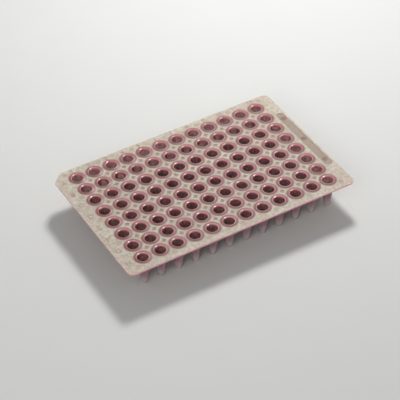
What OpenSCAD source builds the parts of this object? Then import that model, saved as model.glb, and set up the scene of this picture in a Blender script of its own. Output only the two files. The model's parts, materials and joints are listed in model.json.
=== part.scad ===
// Low-profile, unskirted 96-well plate, moulded in one piece.
// Origin: centre of the footprint, at the level of the well tips. +Z is up, A1 is at -X +Y.

/* [Deck] */
// Length of the deck, along the columns 1 to 12
deck_l = 120.2; // [118:0.2:150]
// Width of the deck, along the rows A to H
deck_w = 78.4; // [77:0.2:100]
// Thickness of the deck
deck_t = 1.0; // [0.7:0.1:2]
// Radius of the three rounded corners
corner_r = 3.0; // [0.5:0.1:5]
// Length cut off both edges at the A1 corner
notch = 5.2; // [3:0.1:6]
// Radius where that cut meets the edges
notch_r = 1.2; // [0.3:0.1:2]

/* [Well grid] */
// Distance between the centres of neighbouring wells
pitch = 9.0; // [7.5:0.1:9.1]
// Number of wells along X
cols = 12; // [2:1:12]
// Number of wells along Y
rows = 8; // [2:1:8]

/* [Well] */
// Height of the plate, from the tips to the top of the rims
overall_h = 16.0; // [13:0.1:24]
// Inner diameter of the straight mouth
mouth_d = 5.44; // [4.6:0.02:5.9]
// Depth of the straight mouth, below the top of the rim
mouth_h = 3.8; // [2.8:0.1:8]
// Thickness of the well's wall, all the way down
wall_t = 0.38; // [0.25:0.01:0.5]
// Outer radius of the ball-shaped tip
tip_r = 1.5; // [1:0.05:2]

/* [Rim] */
// Height of the rim above the deck
rim_h = 0.3; // [0.2:0.05:0.8]
// Width of the sealing land on top of the rim, with its rounded edges
land_w = 0.48; // [0.4:0.01:0.7]
// Width of the sloping flank outside the land
flank_w = 0.7; // [0.5:0.01:0.8]
// Width of the soft foot outside the flank
foot_w = 0.2; // [0.1:0.01:0.3]
// Height of the soft foot above the deck
foot_h = 0.06; // [0.03:0.01:0.12]
// Radius of the rounded edges on both sides of the land
rim_edge_r = 0.3; // [0.05:0.01:0.35]

/* [Moulding marks] */
// Distance from the middle of a star to each of the four arcs that shape it
star_waist = 0.86; // [0.6:0.02:1.2]
// Depth of the star
star_depth = 0.15; // [0.05:0.05:0.3]
// Diameter of a push-out pin's mark
pin_d = 2.5; // [1.5:0.1:3]
// Depth of a push-out pin's mark
pin_depth = 0.1; // [0.05:0.05:0.3]

/* [Grip recess] */
// Length of the recess along the column 12 edge
recess_l = 45.6; // [20:0.2:60]
// Width of the recess
recess_w = 4.0; // [3:0.1:4.6]
// Depth of the recess
recess_depth = 0.2; // [0.1:0.05:0.4]
// Distance from the recess to the edge of the deck
recess_inset = 1.2; // [0.6:0.1:3]
// Diameter of the push-out pins' marks in the recess
recess_pin_d = 2.8; // [1.5:0.1:3]

/* [Lettering] */
// Height of a row letter
letter_h = 2.8; // [2:0.1:3.2]
// Height of a column number
number_h = 2.2; // [1.5:0.1:2.4]
// Width of a stroke
stroke_w = 0.36; // [0.25:0.01:0.45]
// How far the characters stand up from the deck
relief_h = 0.2; // [0.1:0.05:0.4]
// Distance from the deck's edge to the middle of the letters
letter_inset = 3.5; // [2.5:0.1:5]
// Distance from the deck's edge to the middle of the numbers
number_inset = 1.7; // [1.6:0.1:3]

/* [Hidden] */
$fn = 64;

deck_top = overall_h - rim_h;
deck_low = deck_top - deck_t;
mouth_r = mouth_d / 2;
land_r = mouth_r + land_w;
flank_r = land_r + flank_w;
foot_r = flank_r + foot_w;
sink = 0.2;                         // how deep one feature is rooted in another
digit_w = 0.55;                     // width of a digit, as a share of its height
letter_w = 0.8;                     // width of a letter, as a share of its height
row_names = "ABCDEFGH";

// Places in the grid, counted from A1 at the -X +Y corner
function col_x(c) = (c - (cols - 1) / 2) * pitch;
function row_y(r) = ((rows - 1) / 2 - r) * pitch;

// Direction, below the horizontal, from a tip's centre to where a line from [r, z] touches the tip
function touch_angle(r, z, ball) = atan2(z - tip_r, r) - acos(ball / norm([r, z - tip_r]));

// ---- Deck ----

// A convex outline through sharp points and then round corners.
// Each round corner is [x, y, radius, the directions of its two tangent points].
module rounded_outline(corners, sharp = []) {
    polygon([each sharp, for (c = corners) each [touch(c, 3), touch(c, 4)]]);
    for (c = corners) translate([c[0], c[1]]) intersection() {
        circle(r = c[2]);
        polygon([[0, 0], 3 * c[2] * ray(c[3]), 3 * c[2] * ray(c[4])]);
    }
}

function ray(angle) = [cos(angle), sin(angle)];
function touch(c, k) = [c[0], c[1]] + c[2] * ray(c[k]);

module deck_outline() {
    x = deck_l / 2;
    y = deck_w / 2;
    slack = notch_r * tan(22.5);    // from a blunt corner of the cut to its tangent points
    rounded_outline([
        [x - corner_r, y - corner_r, corner_r, 0, 90],
        [-x + notch + slack, y - notch_r, notch_r, 90, 135],
        [-x + notch_r, y - notch - slack, notch_r, 135, 180],
        [-x + corner_r, -y + corner_r, corner_r, 180, 270],
        [x - corner_r, -y + corner_r, corner_r, 270, 360]
    ]);
}

module at_wells() {
    for (c = [0 : cols - 1], r = [0 : rows - 1]) translate([col_x(c), row_y(r)]) children();
}

module deck() {
    bite = mouth_r + wall_t / 2;    // the well's wall closes this hole and overlaps the deck
    translate([0, 0, deck_low]) linear_extrude(deck_t) difference() {
        deck_outline();
        at_wells() circle(r = bite);
    }
}

// ---- Wells ----

// Half section from the axis out to a straight wall, a cone and a ball that the cone touches
module well_half(r, top, bend, ball) {
    angle = touch_angle(r, bend, ball);
    centre = [0, tip_r];
    contact = centre + ball * ray(angle);
    polygon([[0, tip_r - ball / 2], contact, [r, bend], [r, top], [0, top]]);
    translate(centre) intersection() {
        circle(r = ball);
        polygon([[0, 0], [0, -3 * ball], 3 * ball * ray(-60), 2 * ball * ray(angle)]);
    }
}

// Half section of the raised rim: sealing land, flank and foot, rooted in the deck
module rim_half() {
    slope = atan2(rim_h - foot_h, flank_w);
    slack = rim_edge_r * tan(slope / 2);    // from the land's outer corner to its tangent points
    rounded_outline(
        [
            [land_r - slack, overall_h - rim_edge_r, rim_edge_r, 90 - slope, 90],
            [mouth_r + rim_edge_r, overall_h - rim_edge_r, rim_edge_r, 90, 180]
        ],
        [
            [mouth_r, deck_top - sink],
            [foot_r + foot_w, deck_top - foot_h],
            [flank_r, deck_top + foot_h]
        ]
    );
}

module well() {
    outer_r = mouth_r + wall_t;
    bend = overall_h - mouth_h;
    half_cone = -touch_angle(outer_r, bend, tip_r);
    inner_bend = bend + wall_t * tan(half_cone / 2);    // keeps the wall even round the bend
    rotate_extrude() difference() {
        union() {
            well_half(outer_r, deck_top - sink / 2, bend, tip_r);
            rim_half();
        }
        well_half(mouth_r, overall_h + 1, inner_bend, tip_r - wall_t);
    }
}

// ---- Marks on the deck ----

// What four arcs, one round each neighbouring well, leave of the deck between them
module star() {
    side = pitch / 2;
    arc_r = side * sqrt(2) - star_waist;
    reach = side - sqrt(arc_r * arc_r - side * side);
    difference() {
        square(3 * reach, center = true);
        for (x = [-side, side], y = [-side, side]) translate([x, y]) circle(r = arc_r);
    }
}

module stars() {
    translate([0, 0, deck_top - star_depth]) linear_extrude(star_depth + 1)
        for (c = [0 : cols - 2], r = [0 : rows - 2])
            translate([col_x(c + 0.5), row_y(r + 0.5)]) star();
}

module pin_mark(d, floor_z) {
    translate([0, 0, floor_z]) cylinder(d = d, h = overall_h - floor_z);
}

// Push-out pins stand on every other cell corner, in a frame round the wells
module pin_marks() {
    for (c = [-0.5 : 2 : cols - 0.5], r = [-0.5, rows - 0.5])
        translate([col_x(c), row_y(r)]) pin_mark(pin_d, deck_top - pin_depth);
    for (r = [1.5 : 2 : rows - 1.5])
        translate([col_x(-0.5), row_y(r)]) pin_mark(pin_d, deck_top - pin_depth);
}

module grip_recess() {
    end = (recess_l - recess_w) / 2;
    x = deck_l / 2 - recess_inset - recess_w / 2;
    translate([x, 0, deck_top - recess_depth]) linear_extrude(recess_depth + 1) {
        square([recess_w, 2 * end], center = true);
        for (y = [-end, end]) translate([0, y]) circle(d = recess_w);
    }
    for (r = [1.5 : 2 : rows - 1.5])
        translate([x, row_y(r)]) pin_mark(recess_pin_d, deck_top - recess_depth - pin_depth);
}

// ---- Lettering ----

module bar(a, b) {
    run = b - a;
    translate(a) rotate(atan2(run[1], run[0])) translate([0, -stroke_w / 2])
        square([norm(run), stroke_w]);
}

// A curved stroke round c, of mean radius r, from one angle to a larger one
module bow(c, r, from, to) {
    steps = ceil((to - from) / 60);
    far = 2 * r + stroke_w;
    translate(c) intersection() {
        difference() {
            circle(r = r + stroke_w / 2);
            circle(r = r - stroke_w / 2);
        }
        polygon([[0, 0], for (i = [0 : steps]) far * ray(from + (to - from) * i / steps)]);
    }
}

module ring(c, r) {
    translate(c) difference() {
        circle(r = r + stroke_w / 2);
        circle(r = r - stroke_w / 2);
    }
}

// One character, w wide and h high over its strokes' centre lines, on its own centre
module character(ch, w, h) {
    x = w / 2;
    y = h / 2;
    q = h / 4;
    s = stroke_w / 2;
    if (ch == "A") {
        bar([-x, -y], [0, y + s]);
        bar([x, -y], [0, y + s]);
        bar([-x * 0.6, -q * 0.7], [x * 0.6, -q * 0.7]);
    }
    if (ch == "B") {
        bar([-x, -y - s], [-x, y + s]);
        for (k = [-q, q]) bow([x - q, k], q, -90, 90);
        for (k = [-y, 0, y]) bar([-x, k], [x - q, k]);
    }
    if (ch == "C") bow([0, 0], y, 45, 315);
    if (ch == "D") {
        bar([-x, -y - s], [-x, y + s]);
        bow([x - y, 0], y, -90, 90);
        for (k = [-y, y]) bar([-x, k], [x - y, k]);
    }
    if (ch == "E" || ch == "F") {
        bar([-x, -y - s], [-x, y + s]);
        bar([-x, y], [x, y]);
        bar([-x, 0], [x * 0.7, 0]);
    }
    if (ch == "E") bar([-x, -y], [x, -y]);
    if (ch == "G") {
        bow([0, 0], y, 45, 345);
        bar([x * 0.2, -s], [y + s, -s]);
    }
    if (ch == "H") {
        for (k = [-x, x]) bar([k, -y - s], [k, y + s]);
        bar([-x, 0], [x, 0]);
    }
    if (ch == "0") {
        for (k = [-1, 1]) bar([k * x, x - y], [k * x, y - x]);
        bow([0, y - x], x, 0, 180);
        bow([0, x - y], x, 180, 360);
    }
    if (ch == "1") {
        bar([0, -y - s], [0, y + s]);
        bar([-x, y - x], [0, y]);
    }
    if (ch == "2") {
        bow([0, y - x], x, -20, 180);
        bar([x * 0.94, y - x * 1.3], [-x, -y]);
        bar([-x - s, -y], [x + s, -y]);
    }
    if (ch == "3") {
        bow([0, q], q, -90, 160);
        bow([0, -q], q, -160, 90);
    }
    if (ch == "4") {
        bar([x * 0.4, -y - s], [x * 0.4, y + s]);
        bar([x * 0.4, y], [-x, -q]);
        bar([-x - s, -q], [x + s, -q]);
    }
    if (ch == "5") {
        bar([-x, y], [x, y]);
        bar([-x, 0], [-x, y + s]);
        bar([-x - s, x * 2 - y], [0, x * 2 - y]);
        bow([0, x - y], x, -160, 90);
    }
    if (ch == "6") {
        ring([0, x - y], x);
        bar([-x, x - y], [x * 0.3, y + s]);
    }
    if (ch == "7") {
        bar([-x - s, y], [x + s, y]);
        bar([x, y], [-x * 0.3, -y - s]);
    }
    if (ch == "8") for (k = [-q, q]) ring([0, k], q);
    if (ch == "9") {
        ring([0, y - x], x);
        bar([x, y - x], [-x * 0.3, -y - s]);
    }
}

module number(n) {
    w = number_h * digit_w - stroke_w;
    digits = str(n);
    step = w + 2.2 * stroke_w;
    for (i = [0 : len(digits) - 1])
        translate([(i - (len(digits) - 1) / 2) * step, 0])
            character(digits[i], w, number_h - stroke_w);
}

module lettering() {
    translate([0, 0, deck_top - sink]) linear_extrude(sink + relief_h) {
        for (r = [0 : rows - 1]) translate([letter_inset - deck_l / 2, row_y(r)])
            character(row_names[r], letter_h * letter_w - stroke_w, letter_h - stroke_w);
        for (c = [0 : cols - 1]) translate([col_x(c), deck_w / 2 - number_inset]) number(c + 1);
    }
}

// ---- The plate ----

module well_plate() {
    color([0.86, 0.76, 0.74]) {
        difference() {
            deck();
            stars();
            pin_marks();
            grip_recess();
        }
        at_wells() well();
        lettering();
    }
}

well_plate();
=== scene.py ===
"""A low, unskirted 96-well plate: one thin-walled moulding in rose-tinted polypropylene."""

import json
import math

import bmesh
import bpy
from mathutils import Matrix, Vector


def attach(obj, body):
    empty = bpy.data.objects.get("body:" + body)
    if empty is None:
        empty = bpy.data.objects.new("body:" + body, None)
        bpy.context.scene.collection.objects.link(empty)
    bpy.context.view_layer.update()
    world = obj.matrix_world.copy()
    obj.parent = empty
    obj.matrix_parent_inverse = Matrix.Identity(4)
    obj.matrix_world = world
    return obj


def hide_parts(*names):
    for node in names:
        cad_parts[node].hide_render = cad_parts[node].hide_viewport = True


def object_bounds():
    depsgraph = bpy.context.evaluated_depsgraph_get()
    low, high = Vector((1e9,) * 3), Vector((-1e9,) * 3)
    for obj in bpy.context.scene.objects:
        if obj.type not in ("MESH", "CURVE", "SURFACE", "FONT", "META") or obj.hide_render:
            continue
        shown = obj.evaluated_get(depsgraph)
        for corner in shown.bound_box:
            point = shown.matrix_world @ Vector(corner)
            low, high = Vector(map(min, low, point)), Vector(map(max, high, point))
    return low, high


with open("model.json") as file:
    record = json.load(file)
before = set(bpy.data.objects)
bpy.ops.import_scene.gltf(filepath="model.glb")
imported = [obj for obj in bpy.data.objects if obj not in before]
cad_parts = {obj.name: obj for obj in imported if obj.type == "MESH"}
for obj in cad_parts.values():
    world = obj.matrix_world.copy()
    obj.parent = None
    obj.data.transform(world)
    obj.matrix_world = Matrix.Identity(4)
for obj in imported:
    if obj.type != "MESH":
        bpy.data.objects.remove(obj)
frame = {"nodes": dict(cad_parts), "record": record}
cad_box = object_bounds()

# --- The deck ---------------------------------------------------------------
# The flat plate that carries the wells, with its cut-off A1 corner, raised grid labels, star and pin
# marks and grip recess. The mould gives its top a fine frosted grain. Round each rim the top is
# painted a darker rose: painted shade and rose-tinted light from the tube beneath. Its edges are
# polished, and light that has run through the tinted plastic comes out of them; their light pink is
# also painted glow.
mm = 0.001
hair = 0.001 * mm
merge_distance = 0.1 * hair
FROSTED, UNDERSIDE, EDGE, LABELS, PINS, STARS, RECESS, RECESS_PINS = range(8)
mark_depths = {PINS: 0.1 * mm, STARS: 0.15 * mm, RECESS: 0.2 * mm, RECESS_PINS: 0.3 * mm}
rim_height = 0.3 * mm
deck_thickness = 1.0 * mm
deck_edge_bevel = 0.12 * mm
fairly_level = 0.5
foot_radius = 4.1 * mm

first_well, last_well = (Vector(m["pos_m"]).xy for m in frame["record"]["mounts"][:2])
pitch = 9 * mm
columns = round((last_well.x - first_well.x) / pitch) + 1
rows = round((first_well.y - last_well.y) / pitch) + 1

plate_top = cad_box[1].z
deck_top = plate_top - rim_height
deck_bottom = deck_top - deck_thickness


def nearest_well(point):
    """The middle, in plan, of the well that a point belongs to."""
    column = min(max(round((point.x - first_well.x) / pitch), 0), columns - 1)
    row = min(max(round((first_well.y - point.y) / pitch), 0), rows - 1)
    return Vector((first_well.x + column * pitch, first_well.y - row * pitch))


def is_well(face):
    """Whether a face belongs to a rim or a tube, and not to the deck or its marks."""
    middle = face.calc_center_median()
    if middle.z < deck_bottom - hair:
        return True
    if (middle.xy - nearest_well(middle)).length > foot_radius:
        return False
    return middle.z > deck_top + hair or deck_bottom + hair < middle.z < deck_top - hair


bm = bmesh.new()
bm.from_mesh(frame["nodes"]["well_plate"].data)
bmesh.ops.remove_doubles(bm, verts=bm.verts, dist=merge_distance)
bmesh.ops.delete(bm, geom=[f for f in bm.faces if is_well(f)], context="FACES")
bm.normal_update()

for face in bm.faces:
    lowest = min(v.co.z for v in face.verts)
    highest = max(v.co.z for v in face.verts)
    if lowest < deck_bottom + hair:
        face.material_index = UNDERSIDE if abs(face.normal.z) > fairly_level else EDGE
    elif highest > deck_top + hair:
        face.material_index = LABELS
    elif lowest < deck_top - hair:
        depth = deck_top - lowest
        face.material_index = min(mark_depths, key=lambda mark: abs(mark_depths[mark] - depth))
    else:
        face.material_index = FROSTED

top_holes = [e for e in bm.edges if e.is_boundary and e.verts[0].co.z > deck_top - hair]
bottom_holes = [e for e in bm.edges if e.is_boundary and e.verts[0].co.z < deck_bottom + hair]
outline = [
    e
    for e in bm.edges
    if len(e.link_faces) == 2
    and sorted(f.material_index for f in e.link_faces) in ([FROSTED, EDGE], [UNDERSIDE, EDGE])
]
bmesh.ops.bevel(
    bm, geom=outline, offset=deck_edge_bevel, offset_type="OFFSET", segments=2, profile=0.5,
    affect="EDGES", clamp_overlap=False, material=-1,
)

finishes = []
scatter_by_colour = (1.0, 0.8, 0.75)


def finish(name, roughness, scatter=2.0 * mm, gloss=0.15):
    """A new finish: its node tree and its shader. Light runs on in the plastic over the scatter."""
    material = bpy.data.materials.new(name)
    material.use_nodes = True
    tree = material.node_tree
    shader = tree.nodes["Principled BSDF"]
    shader.inputs["Roughness"].default_value = roughness
    shader.inputs["Specular IOR Level"].default_value = gloss
    shader.inputs["Subsurface Weight"].default_value = 1.0 if scatter else 0.0
    shader.inputs["Subsurface Radius"].default_value = scatter_by_colour
    shader.inputs["Subsurface Scale"].default_value = scatter
    finishes.append(material)
    return tree, shader


def scaled(tree, value, low, high, start=0.0, end=1.0, smooth=False):
    """Maps a value in start..end to low..high."""
    scale = tree.nodes.new("ShaderNodeMapRange")
    if smooth:
        scale.interpolation_type = "SMOOTHSTEP"
    for name, number in (("From Min", start), ("From Max", end), ("To Min", low), ("To Max", high)):
        scale.inputs[name].default_value = number
    tree.links.new(value, scale.inputs["Value"])
    return scale.outputs["Result"]


def patches(tree, size, detail=2.0, blur=0.3):
    """Cloudy patches of about the given size, from 0 to 1."""
    place = tree.nodes.new("ShaderNodeTexCoord")
    noise = tree.nodes.new("ShaderNodeTexNoise")
    noise.inputs["Scale"].default_value = 1 / size
    noise.inputs["Detail"].default_value = detail
    tree.links.new(place.outputs["Object"], noise.inputs["Vector"])
    return scaled(tree, noise.outputs["Fac"], low=0.0, high=1.0, start=0.5 - blur, end=0.5 + blur)


def between(tree, share, first, second):
    """The colour that lies a share of the way from the first to the second."""
    mix = tree.nodes.new("ShaderNodeMix")
    mix.data_type = "RGBA"
    tree.links.new(share, mix.inputs["Factor"])
    for end, colour in (("A", first), ("B", second)):
        socket = [s for s in mix.inputs if s.name == end and s.type == "RGBA"][0]
        if isinstance(colour, tuple):
            socket.default_value = (*colour, 1)
        else:
            tree.links.new(colour, socket)
    return [s for s in mix.outputs if s.type == "RGBA"][0]


def tinted(tree, shader, colour):
    """Gives a finish its colour."""
    tree.links.new(colour, shader.inputs["Base Color"])


def grain(tree, shader, size, height):
    """A moulded grain in relief."""
    bump = tree.nodes.new("ShaderNodeBump")
    bump.inputs["Strength"].default_value = 1.0
    bump.inputs["Distance"].default_value = height
    tree.links.new(patches(tree, size, blur=0.5), bump.inputs["Height"])
    tree.links.new(bump.outputs["Normal"], shader.inputs["Normal"])


def reach_from_well(tree):
    """Distance, in plan, from the axis of the nearest well."""
    start = tree.nodes.new("ShaderNodeTexCoord").outputs["Object"]
    corner = (first_well.x, last_well.y, 0)
    axis = start
    for operation, vector in (
        ("SUBTRACT", corner),
        ("DIVIDE", (pitch, pitch, 1)),
        ("ADD", (0.5, 0.5, 0)),
        ("FLOOR", (0, 0, 0)),
        ("MAXIMUM", (0, 0, 0)),
        ("MINIMUM", (columns - 1, rows - 1, 0)),
        ("MULTIPLY", (pitch, pitch, 0)),
        ("ADD", corner),
    ):
        step = tree.nodes.new("ShaderNodeVectorMath")
        step.operation = operation
        step.inputs[1].default_value = vector
        tree.links.new(axis, step.inputs[0])
        axis = step.outputs["Vector"]
    flat = tree.nodes.new("ShaderNodeVectorMath")
    flat.operation = "MULTIPLY"
    flat.inputs[1].default_value = (1, 1, 0)
    tree.links.new(start, flat.inputs[0])
    reach = tree.nodes.new("ShaderNodeVectorMath")
    reach.operation = "DISTANCE"
    tree.links.new(flat.outputs["Vector"], reach.inputs[0])
    tree.links.new(axis, reach.inputs[1])
    return reach.outputs["Value"]


cream = (0.69, 0.66, 0.555)
cream_pink = (0.62, 0.54, 0.455)
cream_deep = (0.51, 0.45, 0.38)
# Painted shade: within about 4 to 4.65 mm of each well's axis the deck is painted a darker rose, for
# the rim's shade and the rose light from the tube beneath.
painted_rim_shade = (0.40, 0.245, 0.215)
painted_rim_shade_start = 4.0 * mm
painted_rim_shade_end = 4.65 * mm

tree, shader = finish("frosted_deck", roughness=0.5)
cloudy = between(tree, patches(tree, size=14 * mm, detail=1.0, blur=0.2), cream, cream_pink)
mottled = between(tree, patches(tree, size=1.6 * mm, detail=6.0, blur=0.15), cloudy, cream_deep)
reach = reach_from_well(tree)
# Painted shade and tinted light round each rim.
painted_rim_shading = scaled(tree, reach, low=1.0, high=0.0, start=painted_rim_shade_start, end=painted_rim_shade_end, smooth=True)
tinted(tree, shader, between(tree, painted_rim_shading, mottled, painted_rim_shade))
frosting = scaled(tree, patches(tree, size=1.5 * mm), low=0.45, high=0.6)
tree.links.new(frosting, shader.inputs["Roughness"])
grain(tree, shader, size=0.3 * mm, height=0.01 * mm)

tree, shader = finish("deck_underside", roughness=0.4)
tinted(tree, shader, between(tree, patches(tree, size=3 * mm), cream, cream_deep))
grain(tree, shader, size=0.6 * mm, height=0.004 * mm)

for name, roughness, size, light, dark in (
    # Painted glow: the deck edge is painted a light pink, lighter than the rim's rose, for the light
    # that runs out of the edges.
    ("deck_edge_painted_glow", 0.3, 4 * mm, (0.85, 0.44, 0.50), (0.75, 0.37, 0.43)),
    ("raised_labels", 0.45, 1.5 * mm, (0.52, 0.42, 0.35), (0.46, 0.365, 0.30)),
    ("pin_marks", 0.6, 1.5 * mm, (0.57, 0.49, 0.405), (0.50, 0.415, 0.34)),
    ("star_marks", 0.55, 1.5 * mm, (0.47, 0.32, 0.27), (0.42, 0.275, 0.235)),
    ("recess_floor", 0.6, 1.2 * mm, (0.46, 0.385, 0.315), (0.36, 0.295, 0.24)),
    ("recess_pin_marks", 0.55, 1.5 * mm, (0.36, 0.235, 0.20), (0.29, 0.185, 0.16)),
):
    tree, shader = finish(name, roughness)
    tinted(tree, shader, between(tree, patches(tree, size), light, dark))
    grain(tree, shader, size=0.5 * mm, height=0.004 * mm)

# --- The rims and tubes -----------------------------------------------------
# Each well is a thin-walled tube that hangs under the deck: a straight mouth, a cone and a ball-shaped
# tip, with a low raised rim round the mouth. They are moulded in one with the deck and polished, so
# the rose tint shows and light shines through the walls. Light and shade are also painted into the
# colours: a darker outer flank on each rim, a painted glow on the mouth wall, and pale tips that
# darken up the tube.
RIM, MOUTH, INSIDE, TUBE = range(8, 12)
lip_width = 0.3 * mm
flank_radius = 3.9 * mm
foot_height = 0.06 * mm
flank_z = deck_top + foot_height
land_radius = 3.2 * mm
mouth_radius = frame["record"]["mounts"][0]["dims"]["r_mm"] * mm
glow_depth = 0.95 * mm
glow_z = plate_top - glow_depth
wall = 0.38 * mm
tip_radius = 1.5 * mm
mouth_depth = 3.8 * mm
bend_z = plate_top - mouth_depth
ball_steps = 5


def grow_rings(edges, section, slot):
    """Carries the open edges of every well on through the rings of a section, given as (radius, z)."""
    for radius, z in section:
        grown = bmesh.ops.extrude_edge_only(bm, edges=edges)["geom"]
        for vert in grown:
            if isinstance(vert, bmesh.types.BMVert):
                well = nearest_well(vert.co)
                out = (vert.co.xy - well).normalized() * radius
                vert.co = (well.x + out.x, well.y + out.y, z)
        for face in grown:
            if isinstance(face, bmesh.types.BMFace):
                face.material_index = slot
        edges = [e for e in grown if isinstance(e, bmesh.types.BMEdge) and e.is_boundary]
    return edges


def arc(radius, z, bend, start, end, steps=1):
    """Points along a rounded part of a section, from one angle in degrees to another."""
    angles = [math.radians(start + (end - start) * i / steps) for i in range(steps + 1)]
    return [(radius + bend * math.cos(a), z + bend * math.sin(a)) for a in angles]


def touch_angle(radius, z, ball):
    """Angle at which a line from a point of the section touches the ball-shaped tip."""
    rise = z - tip_radius
    return math.degrees(math.atan2(rise, radius) - math.acos(ball / math.hypot(radius, rise)))


slope = math.degrees(math.atan2(plate_top - flank_z, flank_radius - land_radius))
slack = lip_width * math.tan(math.radians(slope / 2))
rim_section = [(flank_radius, flank_z)]
rim_section += arc(land_radius - slack, plate_top - lip_width, lip_width, 90 - slope, 90)
rim_section += [(mouth_radius + lip_width, plate_top)]
edges = grow_rings(top_holes, rim_section, RIM)
mouth_section = [(mouth_radius, plate_top - lip_width), (mouth_radius, glow_z)]
edges = grow_rings(edges, mouth_section, MOUTH)

outer_radius = mouth_radius + wall
lean = -touch_angle(outer_radius, bend_z, tip_radius)
inner_bend_z = bend_z + wall * math.tan(math.radians(lean / 2))
for edges, radius, z, ball, slot in (
    (edges, mouth_radius, inner_bend_z, tip_radius - wall, INSIDE),
    (bottom_holes, outer_radius, bend_z, tip_radius, TUBE),
):
    start = touch_angle(radius, z, ball)
    grow_rings(edges, [(radius, z)] + arc(0, tip_radius, ball, start, -90, ball_steps), slot)

bmesh.ops.remove_doubles(bm, verts=bm.verts, dist=merge_distance)
bmesh.ops.recalc_face_normals(bm, faces=bm.faces)
crease = math.radians(35)
dead_level = 0.9999
for face in bm.faces:
    face.smooth = True
for edge in bm.edges:
    decks = [f for f in edge.link_faces if f.material_index in (FROSTED, UNDERSIDE)]
    level = [f for f in decks if abs(f.normal.z) > dead_level]
    edge.smooth = edge.calc_face_angle(0.0) < crease and len(level) != 1

rose = (0.45, 0.215, 0.21)
rose_flank_shade = (0.33, 0.15, 0.142)
painted_glow_pink = (0.83, 0.385, 0.43)
painted_glow_rose = (0.72, 0.315, 0.35)
inside_light = (0.82, 0.52, 0.48)
inside_dark = (0.40, 0.24, 0.22)
painted_tip_light = (0.98, 0.76, 0.80)
tube_light = (0.66, 0.42, 0.46)
tube_dark = (0.47, 0.275, 0.315)
polypropylene_ior = 1.49
flank_shade_start, flank_shade_end = 3.0 * mm, 3.5 * mm
foot_start, foot_end = 3.6 * mm, 4.1 * mm
painted_tip_light_end, streaks_and_shade_start = 1.5 * mm, 8.0 * mm

# Painted shade: the rim's rose is painted darker over its outer flank, and at its foot it fades into
# the painted rose shade of the deck.
tree, shader = finish("rim", roughness=0.35, scatter=0.6 * mm, gloss=0.35)
reach = reach_from_well(tree)
flank_shade = scaled(tree, reach, low=0.0, high=1.0, start=flank_shade_start, end=flank_shade_end)
foot = scaled(tree, reach, low=0.0, high=1.0, start=foot_start, end=foot_end)
tinted(tree, shader, between(tree, foot, between(tree, flank_shade, rose, rose_flank_shade), painted_rim_shade))
grain(tree, shader, size=0.8 * mm, height=0.003 * mm)

# Painted glow: the mouth wall carries the plate's rose tint, painted about twice as light as the rim's
# for the light the deck lets through to it; its scatter carries some real light as well.
tree, shader = finish("mouth", roughness=0.22, scatter=2.5 * mm, gloss=0.9)
tinted(tree, shader, between(tree, patches(tree, size=1.5 * mm), painted_glow_pink, painted_glow_rose))
grain(tree, shader, size=1.0 * mm, height=0.003 * mm)

tree, shader = finish("well_inside", roughness=0.1, scatter=0.0, gloss=0.5)
shader.inputs["IOR"].default_value = polypropylene_ior
shader.inputs["Transmission Weight"].default_value = 0.6
ripples = patches(tree, size=1.3 * mm, detail=3.0, blur=0.15)
tinted(tree, shader, between(tree, ripples, inside_light, inside_dark))
grain(tree, shader, size=1.2 * mm, height=0.04 * mm)

tree, shader = finish("tube", roughness=0.12, scatter=1.0 * mm, gloss=0.5)
shader.inputs["IOR"].default_value = polypropylene_ior
shader.inputs["Transmission Weight"].default_value = 0.4
place = tree.nodes.new("ShaderNodeTexCoord")
split = tree.nodes.new("ShaderNodeSeparateXYZ")
tree.links.new(place.outputs["Object"], split.inputs["Vector"])
height = split.outputs["Z"]
# Painted light and shade: the tip is painted pale for the light gathered at it, and the tube darkens
# upward into its streaked body, a painted shade under the deck.
above_painted_tip_light = scaled(tree, height, low=0.0, high=1.0, start=painted_tip_light_end, end=streaks_and_shade_start, smooth=True)
streaked = between(tree, patches(tree, size=1.5 * mm), tube_light, tube_dark)
tinted(tree, shader, between(tree, above_painted_tip_light, painted_tip_light, streaked))
grain(tree, shader, size=1.2 * mm, height=0.006 * mm)

mesh = bpy.data.meshes.new("well_plate_moulding")
bm.to_mesh(mesh)
bm.free()
mesh.attributes.remove(mesh.attributes["custom_normal"])
for material in finishes:
    mesh.materials.append(material)
plate = bpy.data.objects.new("well_plate_moulding", mesh)
bpy.context.scene.collection.objects.link(plate)
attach(plate, "root")
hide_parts("well_plate")

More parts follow.
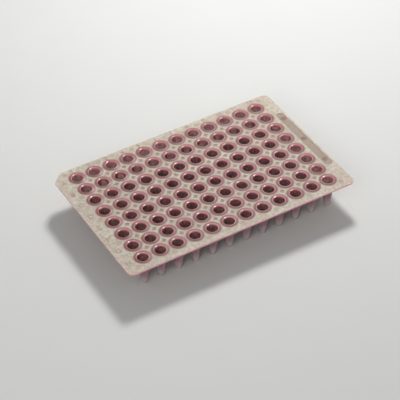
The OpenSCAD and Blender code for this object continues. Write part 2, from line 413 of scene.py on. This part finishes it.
# --- The floor --------------------------------------------------------------
# A plain sheet of pale paper. The plate stands on it, loose, on its 96 tips, and it is there for the
# picture only.
paper = (0.80, 0.80, 0.78)
paper_shade = (0.79, 0.79, 0.77)
floor_reach = 3.0
floor_mesh = bpy.data.meshes.new("floor")
floor_bm = bmesh.new()
bmesh.ops.create_grid(floor_bm, x_segments=1, y_segments=1, size=floor_reach)
floor_bm.to_mesh(floor_mesh)
floor_bm.free()
floor = bpy.data.objects.new("floor", floor_mesh)
bpy.context.scene.collection.objects.link(floor)
tree, shader = finish("floor_paper", roughness=0.9, scatter=0.0)
tinted(tree, shader, between(tree, patches(tree, size=20 * mm), paper, paper_shade))
floor_mesh.materials.append(finishes[-1])

# --- Light and camera -------------------------------------------------------
# A pale room, a soft key lamp at the back right, a wide, weak fill lamp at the front left, and a
# distant lamp that shows only as a glint on what is polished. The camera looks down from the front
# left, from far off, through a long lens.
room_white = (1, 1, 1, 1)
room_light = 0.27
world = bpy.data.worlds.new("studio")
bpy.context.scene.world = world
world.use_nodes = True
room = world.node_tree.nodes["Background"]
room.inputs["Color"].default_value = room_white
room.inputs["Strength"].default_value = room_light

for name, side, distance, size, power, gloss_only in (
    ("key", Vector((0.41, 0.48, 0.775)), 0.5, 0.10, 1.65, False),
    ("fill", Vector((-0.62, -0.52, 0.59)), 0.7, 0.30, 0.9, False),
    ("glint", Vector((0.59, -0.565, 0.575)), 3.0, 0.64, 52.0, True),
):
    data = bpy.data.lights.new(name, "AREA")
    data.size = size
    data.energy = power
    lamp = bpy.data.objects.new(name, data)
    bpy.context.scene.collection.objects.link(lamp)
    lamp.location = side * distance
    lamp.visible_diffuse = not gloss_only
    lamp.rotation_euler = (-side).to_track_quat("-Z", "Y").to_euler()

camera_place = Vector((-0.27629, -0.48110, 0.49563))
aim_point = Vector((-0.00834, -0.01196, 0.0155))
camera_roll = math.radians(-1.416)
camera_data = bpy.data.cameras.new("camera")
camera_data.lens = 140.9
camera_data.sensor_width = 36
camera_data.clip_end = 10
camera = bpy.data.objects.new("camera", camera_data)
bpy.context.scene.collection.objects.link(camera)
camera.location = camera_place
turn = (aim_point - camera_place).to_track_quat("-Z", "Y")
camera.rotation_euler = (turn @ Matrix.Rotation(camera_roll, 3, "Z").to_quaternion()).to_euler()
bpy.context.scene.camera = camera
bpy.context.scene.view_settings.view_transform = "Standard"
